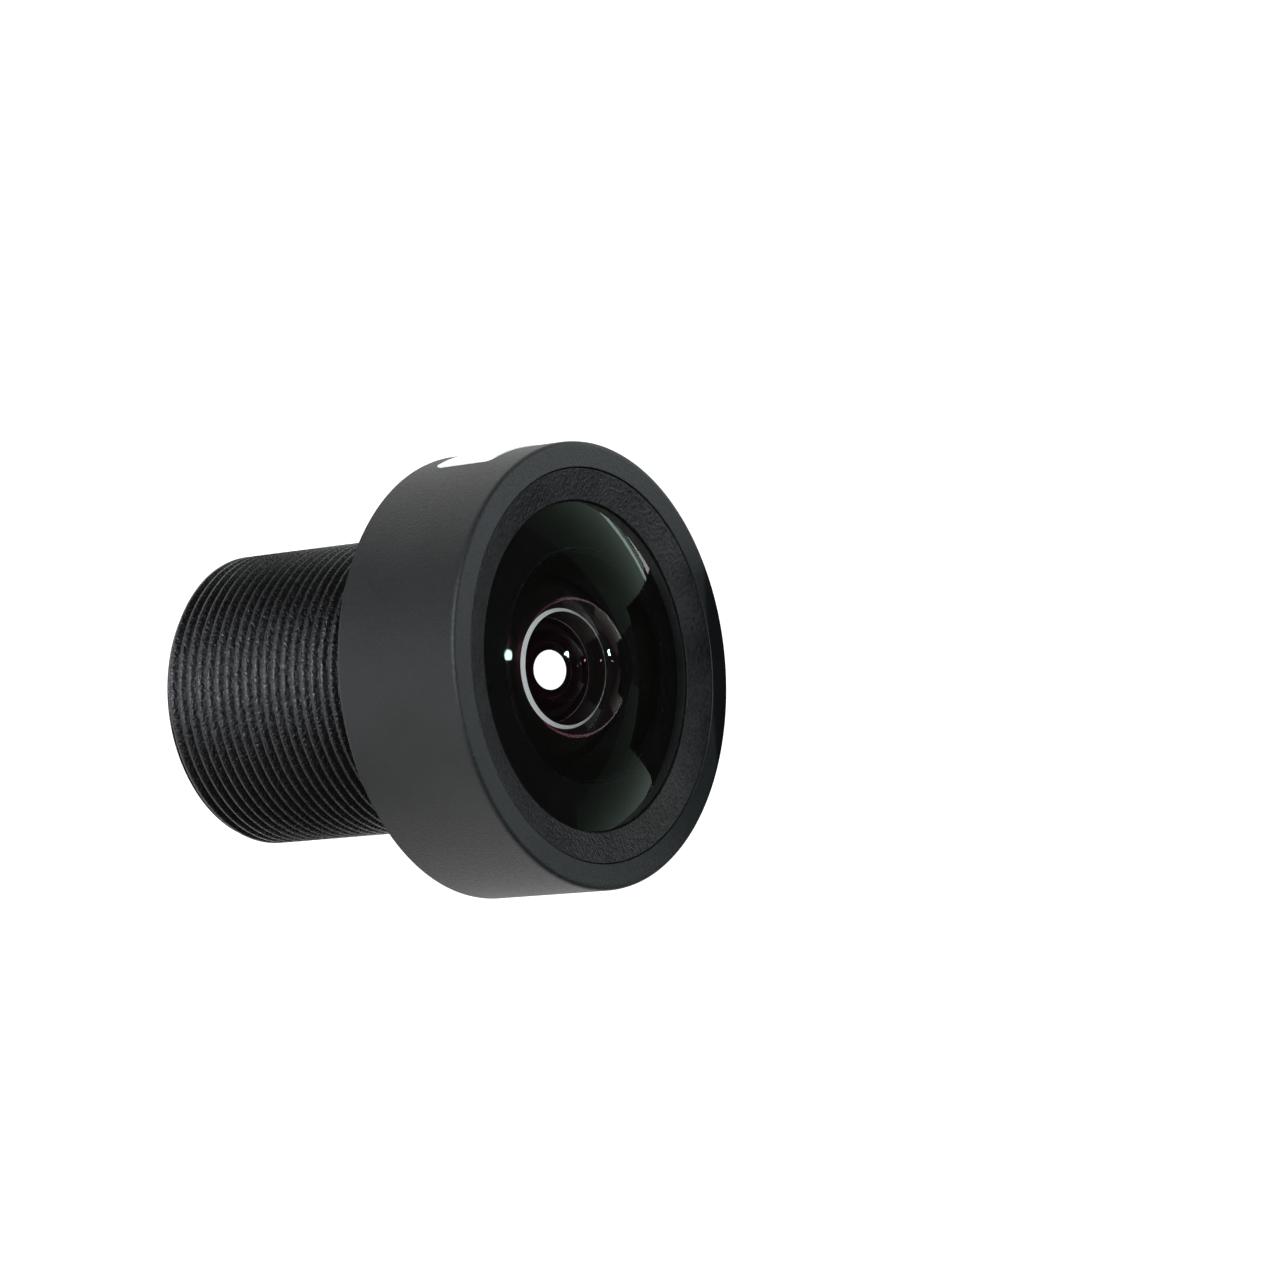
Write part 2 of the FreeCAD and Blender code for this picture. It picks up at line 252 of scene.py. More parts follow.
glassLook = {
    "frontCoat": (0.06, 0.12, 0.08),     # green anti-reflection coating on the front face
    "rearCoat": (0.85, 0.22, 0.42),      # pink one on its hollow
    "secondCoat": (0.26, 0.07, 0.13),    # pink one on the second lens
    "thirdCoat": (0.09, 0.025, 0.048),   # faint pink one on the third
    "deepCoat": (0.08, 0.05, 0.08),      # faint one behind the stop
    "cement": (0.5, 0.5, 0.5),           # hardly mirrors, and without a colour
    "body": "#ffffff",
}
# glow colour and strength: a faint painted glow on the inked edges, standing in for stray light inside the
# glass
inkLook = {"dark": "#0a0a0a", "pale": "#141414", "brushMarks": 0.3, "glow": "#fbfff0", "paintedGlowStrength": 0.0022}
groundLook = {
    "grit": 0.12, "gritDepth": 0.01,     # grinding grit, drawn coarser so that it shows
    "span": 2.6,                         # the glow runs from near to far over this much each side of the axis
    # painted glow on the second lens's ground bevel: strong on the -Y side, nearly none on the +Y side
    "bevel": {"colour": "#eef2f2", "paintedGlowNear": 0.48, "paintedGlowFar": 0.03},
    # faint even painted glow on the front lens's frosted hollow edge
    "hollow": {"colour": "#232e35", "paintedGlowNear": 0.004, "paintedGlowFar": 0.004},
}
filterLook = {"clear": (0.985, 0.995, 0.99), "mirror": "#e29ab4", "roughness": 0.02, "slant": 0.18}
softLook = {
    "rubber": {"dark": "#101010", "pale": "#191919", "grain": 0.4, "depth": 0.01,
               "roughness": 0.7, "specular": 0.3},
    "film": {"dark": "#070707", "pale": "#0d0d0d", "grain": 0.2, "depth": 0.002,
             "roughness": 0.5, "specular": 0.3},
    "label": {"dark": "#e6e6e4", "pale": "#f7f7f6", "grain": 0.15, "depth": 0.004,
              "roughness": 0.6, "specular": 0.4},
}


def coatedGlass(name, ior, coat):
    # polished optical glass: clear, with the coating's colour in whatever it still mirrors
    material, tree = emptyMaterial(name)
    surface = addNode(tree, "ShaderNodeBsdfPrincipled",
                      {"Base Color": linearColour(glassLook["body"]), "Roughness": 0.0, "IOR": ior,
                       "Transmission Weight": 1.0, "Specular Tint": (*coat, 1.0)})
    addNode(tree, "ShaderNodeOutputMaterial", {"Surface": surface.outputs[0]})
    return material


def inkedGlassEdgePaintedGlow():
    # ground glass painted with black lens ink: dead matte with faint brush unevenness; a faint painted glow
    # stands in for the light that wanders inside the glass, so that the lens looks deep and not like a hole
    material, tree = emptyMaterial("blackInkedGlassEdgePaintedGlow")
    place = addNode(tree, "ShaderNodeTexCoord")
    ink = addNode(tree, "ShaderNodeTexNoise",
                  {"Vector": place.outputs["Object"], "Scale": perMm(inkLook["brushMarks"]), "Detail": 3.0})
    colour = addNode(tree, "ShaderNodeMix",
                     {0: ink.outputs["Fac"], 6: linearColour(inkLook["dark"]),
                      7: linearColour(inkLook["pale"])}, data_type="RGBA")
    surface = addNode(tree, "ShaderNodeBsdfPrincipled",
                      {"Base Color": colour.outputs[2], "Roughness": 0.75, "Specular IOR Level": 0.1,
                       # faint painted glow, no lamp
                       "Emission Color": linearColour(inkLook["glow"]),
                       "Emission Strength": inkLook["paintedGlowStrength"]})
    addNode(tree, "ShaderNodeOutputMaterial", {"Surface": surface.outputs[0]})
    return material


def paintedGlowGroundGlass(name, look):
    # edge left as ground: frosted; a painted glow stands in for the light it would scatter inside the glass
    # and shows as a pale line, brighter on the -Y side and fading towards +Y, as if the light came in from
    # there
    shared = groundLook
    material, tree = emptyMaterial(name)
    place = addNode(tree, "ShaderNodeTexCoord")
    frost = addNode(tree, "ShaderNodeTexNoise",
                    {"Vector": place.outputs["Object"], "Scale": perMm(shared["grit"]), "Detail": 3.0})
    bump = addNode(tree, "ShaderNodeBump",
                   {"Height": frost.outputs["Fac"], "Strength": 0.4, "Distance": shared["gritDepth"] * mm})
    across = addNode(tree, "ShaderNodeSeparateXYZ", {0: place.outputs["Object"]})
    # painted glow, strongest at -Y and falling off towards +Y
    glow = addNode(tree, "ShaderNodeMapRange",
                   {"Value": across.outputs[1], "From Min": -shared["span"] * mm,
                    "From Max": shared["span"] * mm, "To Min": look["paintedGlowNear"], "To Max": look["paintedGlowFar"]})
    surface = addNode(tree, "ShaderNodeBsdfPrincipled",
                      {"Base Color": linearColour(look["colour"]), "Roughness": 0.6,
                       "Normal": bump.outputs[0], "Emission Color": linearColour(look["colour"]),
                       "Emission Strength": glow.outputs[0]})
    addNode(tree, "ShaderNodeOutputMaterial", {"Surface": surface.outputs[0]})
    return material


def cementedFace():
    # cement with the glass's own index: the joint can't be seen, so the light goes straight on
    material, tree = emptyMaterial("clearOpticalCement")
    surface = addNode(tree, "ShaderNodeBsdfTransparent", {"Color": (1.0, 1.0, 1.0, 1.0)})
    addNode(tree, "ShaderNodeOutputMaterial", {"Surface": surface.outputs[0]})
    return material


def filterGlass():
    # thin plate with an infrared-cut coating: nearly clear, with a pink mirror tint at a slant
    look = filterLook
    material, tree = emptyMaterial("infraredCutCoatedGlass")
    clear = addNode(tree, "ShaderNodeBsdfTransparent", {"Color": (*look["clear"], 1.0)})
    mirror = addNode(tree, "ShaderNodeBsdfGlossy",
                     {"Color": linearColour(look["mirror"]), "Roughness": look["roughness"]})
    slant = addNode(tree, "ShaderNodeLayerWeight", {"Blend": look["slant"]})
    surface = addNode(tree, "ShaderNodeMixShader",
                      {0: slant.outputs["Fresnel"], 1: clear.outputs[0], 2: mirror.outputs[0]})
    addNode(tree, "ShaderNodeOutputMaterial", {"Surface": surface.outputs[0]})
    return material


def softFinish(name, look):
    # rubber, film and label stock: one soft mottle at the material's own grain
    material, tree = emptyMaterial(name)
    place = addNode(tree, "ShaderNodeTexCoord")
    mottle = addNode(tree, "ShaderNodeTexNoise",
                     {"Vector": place.outputs["Object"], "Scale": perMm(look["grain"]), "Detail": 4.0})
    colour = addNode(tree, "ShaderNodeMix",
                     {0: mottle.outputs["Fac"], 6: linearColour(look["dark"]), 7: linearColour(look["pale"])},
                     data_type="RGBA")
    bump = addNode(tree, "ShaderNodeBump",
                   {"Height": mottle.outputs["Fac"], "Strength": 0.4, "Distance": look["depth"] * mm})
    surface = addNode(tree, "ShaderNodeBsdfPrincipled",
                      {"Base Color": colour.outputs[2], "Roughness": look["roughness"],
                       "Specular IOR Level": look["specular"], "Normal": bump.outputs[0]})
    addNode(tree, "ShaderNodeOutputMaterial", {"Surface": surface.outputs[0]})
    return material


# black ink with a faint painted glow
inkedEdgePaintedGlow = inkedGlassEdgePaintedGlow()
# ground bevel with a painted glow that is brighter on one side
paintedGlowBevel = paintedGlowGroundGlass("groundGlassBevelPaintedGlow", groundLook["bevel"])
# frosted hollow edge with a faint even painted glow
paintedGlowHollowEdge = paintedGlowGroundGlass("groundHollowEdgePaintedGlow", groundLook["hollow"])
sealRubber = softFinish("nitrileRubber", softLook["rubber"])     # matte, a little dusty
blackFilm = softFinish("blackPolyesterFilm", softLook["film"])   # smooth, with a dull sheen
labelStock = softFinish("whiteLabelPaper", softLook["label"])    # even matte white
print("finishes ready")


# barrel: threaded tube and head, turned from one bar
barrelSize = {
    "crestRadius": 6.0, "threadLength": 11.0, "pitch": 0.5, "threadDepth": 0.29, "crestWear": 1.5,
    "endChamfer": 0.25, "segments": 224, "rowsPerTurn": 12,
    "groove": 5.65, "grooveTop": 11.85, "neck": 6.1, "shoulder": 11.75, "head": 8.94, "rim": 17.6,
    "rimInside": 7.89, "shoulderEasing": 0.13, "rimEasing": 0.2, "insideEasing": 0.04, "sharpAngle": 62,
    # the bore's steps from the front to the rear end, (r, z): ring, front glass, second glass, inner glasses,
    # stop, rear glasses, rear ring, filter
    "bore": [(7.89, 16.381), (7.23, 16.381), (7.23, 15.026), (5.33, 15.026), (5.33, 14.055), (4.03, 14.055),
             (4.03, 11.8), (2.6, 11.8), (2.6, 11.3), (3.98, 11.3), (3.98, 6.205), (4.6, 6.205), (4.6, 0.7),
             (5.1, 0.7), (5.1, 0.06), (5.16, 0)],
}


def threadRadius(angle, z):
    # crests worn wide by the tool and the anodising, roots narrower, the end turned to a chamfer
    size = barrelSize
    phase = z / size["pitch"] - angle / (2 * math.pi)
    cut = size["threadDepth"] * ((1 - math.cos(2 * math.pi * phase)) / 2) ** size["crestWear"]
    cone = size["crestRadius"] - size["endChamfer"] + z
    return min(size["crestRadius"] - cut, max(cone, size["crestRadius"] - size["threadDepth"]))


def threadRows(bm):
    # rows climb with the helix: a row's end meets the start of the row one pitch further on
    size = barrelSize
    stops = [i / size["rowsPerTurn"] for i in range(size["rowsPerTurn"])]
    turns = int(size["threadLength"] / size["pitch"])
    bases = [(turn + stop) * size["pitch"] for turn in range(-1, turns + 1) for stop in stops]
    rows = []
    for base in bases:
        row = []
        for i in range(size["segments"] + 1):
            angle = 2 * math.pi * i / size["segments"]
            z = min(max(base + size["pitch"] * i / size["segments"], 0), size["threadLength"])
            r = threadRadius(angle, z)
            row.append(bm.verts.new((r * math.cos(angle), r * math.sin(angle), z)))
        rows.append(row)
    return rows


def makeBarrel():
    size = barrelSize
    bm = bmesh.new()

    def skin(low, high, finish):
        for i in range(size["segments"]):
            bm.faces.new((low[i], low[i + 1], high[i + 1], high[i])).material_index = finish

    rows = threadRows(bm)
    for low, high in zip(rows, rows[1:]):
        skin(low, high, 1)
    rearEdge, frontEdge = (size["head"], size["shoulder"]), (size["head"], size["rim"])
    insideEdge = (size["rimInside"], size["rim"])
    corners = [(size["groove"], size["threadLength"]), (size["groove"], size["grooveTop"]),
               (size["neck"], size["grooveTop"]), (size["neck"], size["shoulder"])]
    corners += eased(corners[-1], rearEdge, frontEdge, size["shoulderEasing"])
    corners += eased(rearEdge, frontEdge, insideEdge, size["rimEasing"], 4)
    corners += eased(frontEdge, insideEdge, size["bore"][0], size["insideEasing"])
    blackFrom = len(corners)
    corners += size["bore"]
    turn = [2 * math.pi * i / size["segments"] for i in range(size["segments"] + 1)]
    rings = [rows[-1]] + [ringOfVerts(bm, r, z, turn) for r, z in corners] + [rows[0]]
    for k, (low, high) in enumerate(zip(rings, rings[1:])):
        skin(low, high, 2 if blackFrom <= k < len(rings) - 2 else 0)
    return finishMesh("threadedBarrel", bm, [headFinish, threadFinish, innerFinish],
                      "barrel", size["sharpAngle"])


makeBarrel()
print("barrel turned and threaded")


# front glass and the rings that hold it
frontGlass = {"outer": 7.2, "frontRadius": 12.5, "frontZ": 19.063, "rearRadius": 5.0, "rearZ": 18.113,
              "hollow": 4.2, "hollowStep": 0.03, "seat": 15.826, "chamfer": 0.1, "hollowBevel": 0.05,
              "ior": 1.70, "frontSteps": 56, "rearSteps": 48, "segments": 256}


def makeFrontGlass():
    size = frontGlass
    top = size["outer"] - size["chamfer"]
    topZ = size["frontZ"] - sag(size["frontRadius"], top)
    bevelZ = size["seat"] + size["hollowBevel"]
    rearTop = math.sqrt(size["rearRadius"] ** 2 - (size["rearRadius"] - (size["rearZ"] - bevelZ)) ** 2)
    foot = (size["hollow"] + size["hollowStep"], size["seat"])
    runs = [
        (0, dome(size["frontRadius"], size["frontZ"], 0, top, size["frontSteps"])),
        (1, [(top, topZ), (size["outer"], topZ - size["chamfer"]),
             (size["outer"], size["seat"] + size["chamfer"]), (top, size["seat"]), foot]),
        (3, [foot, (rearTop, bevelZ)]),
        (2, dome(size["rearRadius"], size["rearZ"], rearTop, 0, size["rearSteps"])),
    ]
    finishes = [coatedGlass("greenCoatedCrown", size["ior"], glassLook["frontCoat"]), inkedEdgePaintedGlow,
                coatedGlass("pinkCoatedCrown", size["ior"], glassLook["rearCoat"]), paintedGlowHollowEdge]
    return turnedPiece("frontMeniscus", "lens_1", runs, finishes, size["segments"])


frontRing = {"outer": 7.86, "foot": 16.441, "top": 17.57, "opening": 6.62, "lip": 0.05, "gap": 0.02,
             "bore": 7.26, "topEasing": 0.04, "lipEasing": 0.03, "underSteps": 8, "segments": 256}


def makeFrontRing():
    # its underside follows the glass's dome a hair above it
    size = frontRing
    glassZ = frontGlass["frontZ"] + size["gap"]
    radius = frontGlass["frontRadius"]
    lipFoot = (size["opening"], glassZ - sag(radius, size["opening"]))
    lip = (size["opening"], lipFoot[1] + size["lip"])
    foot, top = (size["outer"], size["foot"]), (size["outer"], size["top"])
    section = [foot] + eased(foot, top, lip, size["topEasing"]) + eased(top, lip, lipFoot, size["lipEasing"])
    under = dome(radius, glassZ, size["opening"], size["bore"], size["underSteps"])
    runs = [(0, section + [lipFoot]), (1, under + [(size["bore"], size["foot"]), foot])]
    return turnedPiece("frontRetainingRing", "front_retaining_ring", runs, [ringFinish, innerFinish],
                       size["segments"])


def slimmed(corners, hair=0.004):
    # a hair thinner than the space it fills, so that no two faces lie in the same place
    low, high = min(z for r, z in corners), max(z for r, z in corners)
    return [(r, z + hair if z == low else z - hair if z == high else z) for r, z in corners]


sealSize = {"inner": 5.9, "outer": 6.8, "rear": 15.026, "front": 15.826, "roundness": 0.22}


def makeSeal():
    size = sealSize
    corners = slimmed([(size["inner"], size["rear"]), (size["outer"], size["rear"]),
                       (size["outer"], size["front"]), (size["inner"], size["front"])])
    section = easedLoop(corners, {i: size["roundness"] for i in range(4)})
    return turnedPiece("frontSeal", "front_o_ring", [(0, section)], [sealRubber])


makeFrontGlass()
makeFrontRing()
makeSeal()
print("front glass, ring and seal made")


# the glass stack behind it
secondGlass = {"outer": 5.3, "front": 4.5, "frontRadius": 11.2, "frontZ": 16.270, "rearRadius": 3.75,
               "rearZ": 15.210, "hollow": 2.5, "flat": 14.105, "bevel": 0.15, "brokenEdge": 0.03, "ior": 1.60,
               "steps": 48, "segments": 256}


def makeSecondGlass():
    size = secondGlass
    edgeZ = size["frontZ"] - sag(size["frontRadius"], size["front"])
    outer, flat, broken = size["outer"], size["flat"], size["brokenEdge"]
    bevelFoot = (size["hollow"] + size["bevel"], flat)
    runs = [
        (0, dome(size["frontRadius"], size["frontZ"], 0, size["front"], size["steps"])),
        (1, [(size["front"], edgeZ), (outer - broken, edgeZ), (outer, edgeZ - broken), (outer, flat + broken),
             (outer - broken, flat), bevelFoot]),
        (2, [bevelFoot, (size["hollow"], flat + size["bevel"])]),
        (0, dome(size["rearRadius"], size["rearZ"], size["hollow"], 0, size["steps"])),
    ]
    finishes = [coatedGlass("coatedFlint", size["ior"], glassLook["secondCoat"]), inkedEdgePaintedGlow, paintedGlowBevel]
    return turnedPiece("secondMeniscus", "lens_2", runs, finishes, size["segments"])


# each face as (vertex z, radius, clear radius); a radius above 0 bulges to the front
innerGlasses = {
    "thirdLens": {"node": "lens_3", "front": (13.447, 5.4, 2.5), "rear": (12.147, -28.0, 2.4),
                  "outer": 4.0, "ior": 1.80},
    "fourthLens": {"node": "lens_4", "front": (10.351, 20.0, 2.45), "rear": (8.654, -3.2, 2.45),
                   "outer": 2.45, "ior": 1.62},
    "fifthLens": {"node": "lens_5", "front": (8.649, -3.2, 2.45), "rear": (8.049, -40.0, 2.7),
                  "outer": 3.95, "ior": 1.80},
    "sixthLens": {"node": "lens_6", "front": (7.352, 25.0, 3.4), "rear": (5.251, -5.0, 3.4),
                  "outer": 3.95, "ior": 1.62},
}
innerSteps = 40


def makeInnerGlass(name):
    size = innerGlasses[name]
    frontZ, frontRadius, frontClear = size["front"]
    rearZ, rearRadius, rearClear = size["rear"]
    frontEdge, rearEdge = frontZ - sag(frontRadius, frontClear), rearZ - sag(rearRadius, rearClear)
    runs = [
        (0, dome(frontRadius, frontZ, 0, frontClear, innerSteps)),
        (1, [(frontClear, frontEdge), (size["outer"], frontEdge), (size["outer"], rearEdge),
             (rearClear, rearEdge)]),
        (2, dome(rearRadius, rearZ, rearClear, 0, innerSteps)),
    ]
    front = rear = coatedGlass(name + "Glass", size["ior"],
                               glassLook["thirdCoat" if name == "thirdLens" else "deepCoat"])
    if name == "fourthLens":
        rear = cementedFace()
    if name == "fifthLens":
        # the light comes from the fourth lens's glass and not from air
        front = coatedGlass("cementedFaceGlass", size["ior"] / innerGlasses["fourthLens"]["ior"],
                            glassLook["cement"])
    return turnedPiece(name, size["node"], runs, [front, inkedEdgePaintedGlow, rear])


makeSecondGlass()
for lensName in innerGlasses:
    makeInnerGlass(lensName)
print("glass stack made")


# spacers, stop, baffles, rear ring, filter
spacerSections = {  # closed half sections, (r, z)
    "frontSpacer": ("spacer_1", [(4.5, 15.326), (5.3, 15.326), (5.3, 15.826), (4.5, 15.826)]),
    "secondSpacer": ("spacer_2", [(3.0, 12.833), (4.0, 12.833), (4.0, 14.055), (3.0, 14.055)]),
    "apertureStop": ("aperture_stop", [(1.12, 11.8), (4.0, 11.8), (4.0, 12.25), (2.6, 12.25), (2.6, 11.9),
                                       (1.05, 11.9), (1.05, 11.87)]),
    "thirdSpacer": ("spacer_3", [(2.55, 9.79), (3.95, 9.79), (3.95, 11.3), (2.55, 11.3)]),
    "fourthSpacer": ("spacer_4", [(3.4, 7.17), (3.95, 7.17), (3.95, 8.14), (2.7, 8.14)]),
}
keenEdged = ("apertureStop", "secondSpacer")  # edges that stay sharp, so that they don't glint
spacerEasing = 0.02
baffleSections = {
    "frontBaffle": ("light_baffle_1", [(2.95, 14.055), (5.3, 14.055), (5.3, 14.105), (2.95, 14.105)]),
    "rearBaffle": ("light_baffle_2", [(3.4, 7.12), (3.95, 7.12), (3.95, 7.17), (3.4, 7.17)]),
}

for pieceName, (nodeName, corners) in spacerSections.items():
    easings = {} if pieceName in keenEdged else {i: spacerEasing for i in range(4)}
    section = easedLoop(slimmed(corners), easings)
    turnedPiece(pieceName, nodeName, [(0, section)], [innerFinish])
for pieceName, (nodeName, corners) in baffleSections.items():
    turnedPiece(pieceName, nodeName, [(0, easedLoop(slimmed(corners), {}))], [blackFilm])

rearRing = {"nose": 3.95, "body": 4.57, "bore": 3.45, "rearBore": 4.0, "front": 6.585, "step": 6.205,
            "rear": 4.885, "boreEasing": 0.04, "bodyEasing": 0.06,
            "slotWidth": 0.9, "slotDepth": 0.5, "slotReach": 12}


def makeRearRing():
    size = rearRing
    corners = [(size["rearBore"], size["rear"]), (size["body"], size["rear"]), (size["body"], size["step"]),
               (size["nose"], size["step"]), (size["nose"], size["front"]), (size["bore"], size["front"])]
    section = easedLoop(corners, {0: size["boreEasing"], 1: size["bodyEasing"]})
    ring = turnedPiece("rearRetainingRing", "rear_retaining_ring", [(0, section)], [innerFinish])
    bpy.ops.mesh.primitive_cube_add(size=1)
    cutter = bpy.context.object  # milled straight across, for a two-pin spanner
    cutter.dimensions = (size["slotReach"] * mm, size["slotWidth"] * mm, 2 * size["slotDepth"] * mm)
    cutter.location = (0, 0, size["rear"] * mm)
    bpy.context.view_layer.update()
    slots = ring.modifiers.new("spannerSlots", "BOOLEAN")
    slots.operation, slots.solver, slots.object = "DIFFERENCE", "EXACT", cutter
    evaluated = ring.evaluated_get(bpy.context.evaluated_depsgraph_get())
    slotted = bpy.data.meshes.new_from_object(evaluated)
    ring.modifiers.clear()
    ring.data = slotted
    bpy.data.objects.remove(cutter)


filterSize = {"radius": 5.05, "front": 0.7, "rear": 0.4, "easing": 0.04}


def makeFilter():
    size = filterSize
    frontCentre, rearCentre = (0, size["front"]), (0, size["rear"])
    frontEdge, rearEdge = (size["radius"], size["front"]), (size["radius"], size["rear"])
    section = [frontCentre] + eased(frontCentre, frontEdge, rearEdge, size["easing"])
    section += eased(frontEdge, rearEdge, rearCentre, size["easing"]) + [rearCentre]
    turnedPiece("infraredCutFilter", "ir_cut_filter", [(0, section)], [filterGlass()])


makeRearRing()
makeFilter()
print("spacers, stop, baffles, rear ring and filter made")


# blank label on the head's side; from and to are degrees round the axis from +X
labelSize = {"inner": 8.94, "outer": 8.98, "low": 12.9, "high": 15.75, "from": 145.3, "to": 203.0,
             "corner": 0.35, "columns": 64}


def makeLabel():
    size = labelSize
    bm = bmesh.new()
    span = math.radians(size["to"] - size["from"])
    columns = []
    for i in range(size["columns"] + 1):
        share = (1 - math.cos(math.pi * i / size["columns"])) / 2  # closer together at the ends
        along = share * span * size["outer"]
        inset = max(size["corner"] - min(along, span * size["outer"] - along), 0)
        cut = size["corner"] - math.sqrt(max(size["corner"] ** 2 - inset ** 2, 0))
        angle = math.radians(size["from"]) + share * span
        low, high = size["low"] + cut, size["high"] - cut
        edges = ((size["inner"], low), (size["outer"], low), (size["outer"], high), (size["inner"], high))
        columns.append([bm.verts.new((r * math.cos(angle), r * math.sin(angle), z)) for r, z in edges])
    for left, right in zip(columns, columns[1:]):
        for k in range(4):
            bm.faces.new((left[k], right[k], right[(k + 1) % 4], left[(k + 1) % 4]))
    bm.faces.new(columns[0])
    bm.faces.new(columns[-1])
    finishMesh("blankLabel", bm, [labelStock], "label")


makeLabel()
print("label made")


# studio: pale floor, soft lights, camera
studio = {
    "floorGlow": 1.3, "floorRadius": 3000, "floorSegments": 96,
    "floorGap": 0.02,  # a hair below the rear end, so that no two faces lie in the same place
    "aim": (0, 0, 17),
    # azimuth from +X towards +Y, elevation, distance, width, height in mm (height 0 is round), radiance,
    # colour, and which pieces it reaches
    "lights": {
        # a row of lamps overhead, which the front glass mirrors as small dots
        "axisLamp": (-155.6, 83.1, 420, 23, 0, 260, "#ecf8ff", "glass"),
        "secondLamp": (104, 66.7, 420, 14, 0, 650, "#dcfaff", "notRing"),
        "thirdLamp": (97.2, 45.6, 420, 14, 0, 60, "#dcfaff", "all"),
        # long strips at the camera's side and behind the rim
        "frontStrip": (-106, 28, 400, 36, 380, 52, "#f2f8ff", "notGlass"),
        "stripLeft": (116, 4.5, 300, 180, 12, 1.5, "#e6fbf6", "all"),
        # large soft boxes
        "roomGlow": (-80, 38, 420, 900, 420, 0.25, "#ffffff", "metal"),
        "backGlow": (110, 27, 280, 392, 224, 1.75, "#f6faff", "barrel"),
        "ringGlowLow": (116, 55, 280, 90, 80, 6.6, "#fffaf4", "ring"),
        "ringGlowHigh": (73, 58, 280, 90, 70, 4.4, "#f6faff", "ring"),
        "ringGlowBack": (88, 25, 280, 240, 30, 1.5, "#f6faff", "ring"),
        "labelGlow": (183, 30, 320, 300, 260, 1.5, "#ffffff", "label"),
    },
    # some lights are kept off some pieces, as a studio does with dark cards
    "reach": {
        "metal": ["threadedBarrel", "frontRetainingRing"], "barrel": ["threadedBarrel"],
        "ring": ["frontRetainingRing"], "label": ["blankLabel"],
        "notGlass": ["threadedBarrel", "frontRetainingRing", "blankLabel"],
        "glass": ["frontMeniscus", "secondMeniscus", "thirdLens", "fourthLens", "fifthLens", "sixthLens"],
        "notRing": ["threadedBarrel", "frontMeniscus", "secondMeniscus", "thirdLens", "fourthLens",
                    "fifthLens", "sixthLens", "infraredCutFilter", "apertureStop", "blankLabel"],
    },
    # soft cards that fade upwards: azimuth, elevation, distance, width, height, radiance low and high
    "cards": {
        "cardLeft": (127, 20, 300, 240, 210, 0.50, 0.16),
        "cardRight": (66, 19, 300, 200, 190, 0.50, 0.12),
    },
    "cardColour": "#d8f2e2",
    # cards that lie on the table round the lens: left, right, front and back edge, glow
    "tableCards": {
        "darkTableCard": (-400, -10, -400, -18, 0.16), "brightTableCard": (-10, 400, -400, -18, 1.35),
        "leftTubeCard": (-14.5, -6.5, -18, 6, 0.10), "rightTubeCard": (7, 14, -18, 6, 0.10),
    },
    "tableCardHeight": 0.3,
    # dark cards behind the front glass, as on a product table: y, left, right, low, high
    "flags": {"nearFlag": (10.3, -5.0, 6.4, 12.5, 24.0), "farFlag": (24.0, -8.9, 9.9, 8.0, 31.5)},
    "flagShade": 0.008,
    "room": "#ffffff", "roomStrength": 0.03,  # what lights the lens from all round
    "wall": "#f6f7f7", "wallStrength": 1.0,   # what the camera sees beyond the floor
    "camera": {"place": (9.33, -157.93, 136.70), "up": (-0.9963, 0.0, 0.0864),
               "back": (0.0515, -0.8029, 0.5940), "focal": 140.625, "sensor": 36,
               "nearest": 5, "furthest": 20000},
}


def aimed(piece, azimuth, elevation, distance):
    a, e = math.radians(azimuth), math.radians(elevation)
    towards = Vector((math.cos(a) * math.cos(e), math.sin(a) * math.cos(e), math.sin(e)))
    piece.location = (Vector(studio["aim"]) + towards * distance) * mm
    piece.rotation_euler = towards.to_track_quat("Z", "Y").to_euler()


def offCamera(piece):
    # it lights the lens and shows in its reflections, but the camera doesn't see it
    piece.visible_camera = False
    bpy.context.scene.collection.objects.link(piece)


def flatCard(name, points, material):
    mesh = bpy.data.meshes.new(name)
    mesh.from_pydata([tuple(c * mm for c in point) for point in points], [], [(0, 1, 2, 3)])
    mesh.materials.append(material)
    card = bpy.data.objects.new(name, mesh)
    offCamera(card)
    return card


def glowing(name, colour, strength):
    # card or table lit from inside, for the lens to mirror
    material, tree = emptyMaterial(name)
    surface = addNode(tree, "ShaderNodeEmission", {"Color": linearColour(colour), "Strength": strength})
    addNode(tree, "ShaderNodeOutputMaterial", {"Surface": surface.outputs[0]})
    return material


reach = {name: bpy.data.collections.new(name + "Lit") for name in studio["reach"]}
for name, pieceNames in studio["reach"].items():
    for pieceName in pieceNames:
        reach[name].objects.link(bpy.data.objects[pieceName])


def addLight(name, azimuth, elevation, distance, width, height, radiance, colour, pieces):
    data = bpy.data.lights.new(name, "AREA")
    if height:
        data.shape, data.size, data.size_y = "RECTANGLE", width * mm, height * mm
        area = width * height * mm * mm
    else:
        data.shape, data.size = "DISK", width * mm
        area = math.pi * (width * mm / 2) ** 2
    data.energy = radiance * math.pi * area
    data.color = linearColour(colour)[:3]
    light = bpy.data.objects.new(name, data)
    aimed(light, azimuth, elevation, distance)
    offCamera(light)
    if pieces != "all":
        light.light_linking.receiver_collection = reach[pieces]


